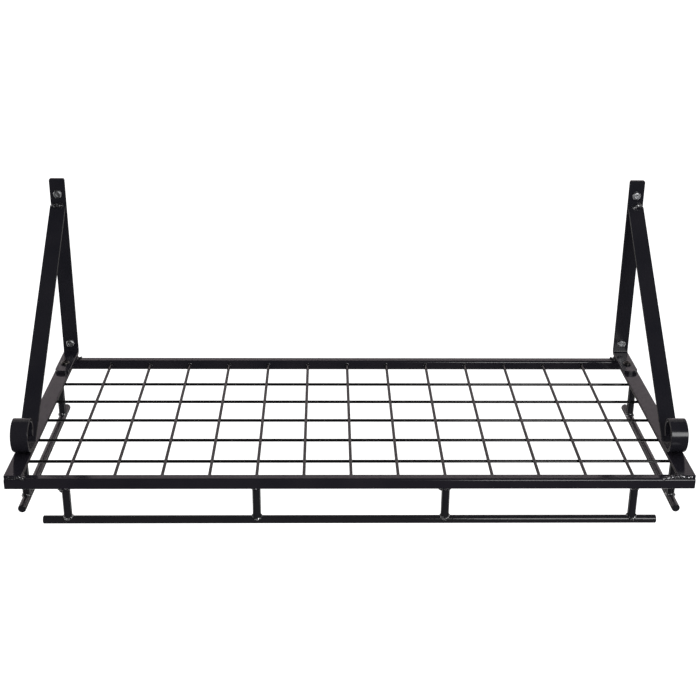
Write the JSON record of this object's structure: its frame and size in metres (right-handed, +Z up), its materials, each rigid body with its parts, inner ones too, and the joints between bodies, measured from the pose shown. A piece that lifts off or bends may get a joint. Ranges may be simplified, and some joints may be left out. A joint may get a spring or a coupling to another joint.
{
  "type": "wall-mounted grid shelf with hanging rails",
  "caption": "Black steel wall shelf: a wire grid in a tube and bar frame, scrolled wall brackets, and round rails below the front and sides for hooks.",
  "frame": {"origin": "centre of the four wall screws, on the wall plane", "axes": "+X along the wall to the right as seen from the front, +Y into the wall, +Z up; the shelf reaches out along -Y"},
  "size_m": [0.7366, 0.3602, 0.2947],
  "materials": {
    "black_frame": "glossy black paint on steel",
    "black_wires": "black paint on steel wire",
    "black_rails": "glossy black paint on steel",
    "black_brackets": "glossy black paint on steel",
    "black_bolts": "black oxide on steel",
    "zinc_screws": "bright zinc plate on steel"
  },
  "bodies": {
    "root": {"front_tube": "black_frame", "rear_tube": "black_frame", "tube_end_plates": "black_frame", "left_side_bar": "black_frame", "right_side_bar": "black_frame", "long_wire_1": "black_wires", "long_wire_2": "black_wires", "long_wire_3": "black_wires", "long_wire_4": "black_wires", "long_wire_5": "black_wires", "long_wire_6": "black_wires", "long_wire_7": "black_wires", "long_wire_8": "black_wires", "long_wire_9": "black_wires", "long_wire_10": "black_wires", "long_wire_11": "black_wires", "long_wire_12": "black_wires", "long_wire_13": "black_wires", "cross_wire_1": "black_wires", "cross_wire_2": "black_wires", "cross_wire_3": "black_wires", "cross_wire_4": "black_wires", "cross_wire_5": "black_wires", "front_rail": "black_rails", "front_post_1": "black_rails", "front_post_2": "black_rails", "front_post_3": "black_rails", "front_post_4": "black_rails", "left_side_rail": "black_rails", "right_side_rail": "black_rails", "left_post_1": "black_rails", "left_post_2": "black_rails", "right_post_1": "black_rails", "right_post_2": "black_rails", "left_wall_strip": "black_brackets", "right_wall_strip": "black_brackets", "left_scroll_arm": "black_brackets", "right_scroll_arm": "black_brackets", "wall_screws": "zinc_screws", "foot_bolts": "black_bolts", "foot_nuts": "black_bolts"}
  },
  "joints": []
}
